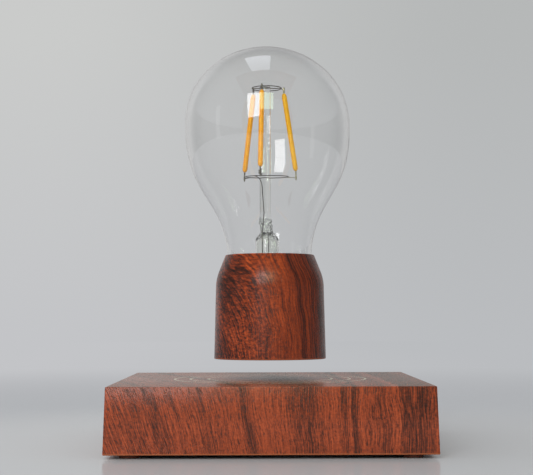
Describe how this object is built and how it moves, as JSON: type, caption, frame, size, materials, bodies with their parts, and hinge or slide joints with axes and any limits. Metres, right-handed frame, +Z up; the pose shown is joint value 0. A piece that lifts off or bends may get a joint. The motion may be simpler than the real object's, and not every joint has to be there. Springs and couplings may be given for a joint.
{
  "type": "levitating lamp",
  "caption": "Filament bulb in a wood-grain cap that hovers over a square wood-grain base with magnets, coils and a wireless feed.",
  "frame": {"origin": "on the floor, under the middle of the square base", "axes": "+Z up along the bulb's axis, -Y towards the front wall, +X to the right; the power inlet is in the rear wall"},
  "size_m": [0.1256, 0.1256, 0.1675],
  "materials": {
    "base_skin": "satin",
    "cap_skin": "satin",
    "dark_plastic": "matte",
    "foot_rubber": "matte",
    "screw_steel": "satin",
    "circuit_board": "satin",
    "pin_brass": "polished",
    "capacitor_can": "satin",
    "ferrite": "matte",
    "pale_plastic": "matte",
    "magnet_plating": "polished",
    "copper_winding": "satin",
    "coil_iron": "matte",
    "bulb_glass": "gloss",
    "support_wire": "satin",
    "light_strip": "satin"
  },
  "bodies": {
    "base": {"base_shell": "base_skin", "bottom_cover": "dark_plastic", "foot_front_left": "foot_rubber", "foot_front_right": "foot_rubber", "foot_rear_left": "foot_rubber", "foot_rear_right": "foot_rubber", "cover_screw_front_left": "screw_steel", "cover_screw_front_right": "screw_steel", "cover_screw_rear_left": "screw_steel", "cover_screw_rear_right": "screw_steel", "control_board": "circuit_board", "board_screw_front_right": "screw_steel", "board_screw_rear_right": "screw_steel", "dc_jack": "dark_plastic", "dc_jack_pin": "pin_brass", "filter_capacitor": "capacitor_can", "power_inductor": "ferrite", "controller_chip": "dark_plastic", "touch_spring": "screw_steel", "touch_electrode": "copper_winding", "magnet_carrier": "pale_plastic", "base_magnet_front_left": "magnet_plating", "base_magnet_front_right": "magnet_plating", "base_magnet_rear_left": "magnet_plating", "base_magnet_rear_right": "magnet_plating", "coil_bobbin_right": "pale_plastic", "coil_winding_right": "copper_winding", "coil_core_right": "coil_iron", "coil_bobbin_left": "pale_plastic", "coil_winding_left": "copper_winding", "coil_core_left": "coil_iron", "coil_bobbin_rear": "pale_plastic", "coil_winding_rear": "copper_winding", "coil_core_rear": "coil_iron", "coil_bobbin_front": "pale_plastic", "coil_winding_front": "copper_winding", "coil_core_front": "coil_iron", "sensor_board": "circuit_board", "field_sensor_x": "dark_plastic", "field_sensor_y": "dark_plastic", "field_sensor_z": "dark_plastic", "transmitter_coil": "copper_winding"},
    "float_magnet": {"float_magnet": "magnet_plating"},
    "bulb": {"cap_shell": "cap_skin", "cap_cover": "dark_plastic", "receiver_coil": "copper_winding", "receiver_shield": "ferrite", "receiver_board": "circuit_board", "receiver_capacitor": "capacitor_can", "neck_collar": "pale_plastic", "glass_envelope": "bulb_glass", "glass_stem": "bulb_glass", "lead_in_lower": "support_wire", "lead_in_upper": "support_wire", "lower_bus_wire": "support_wire", "upper_bus_wire": "support_wire", "filament_right": "light_strip", "filament_middle": "light_strip", "filament_left": "light_strip"}
  },
  "joints": [
    {"name": "bulb_lift", "type": "slide", "parent": "base", "child": "float_magnet", "axis": [0, 0, 1], "range_m": [-0.0081, 0.06], "stiffness_N_per_m": 100, "springref_m": 0.01567},
    {"name": "bulb_spin", "type": "hinge", "parent": "float_magnet", "child": "bulb", "pos_m": [0, 0, 0.0436], "axis": [0, 0, 1], "continuous": true}
  ]
}
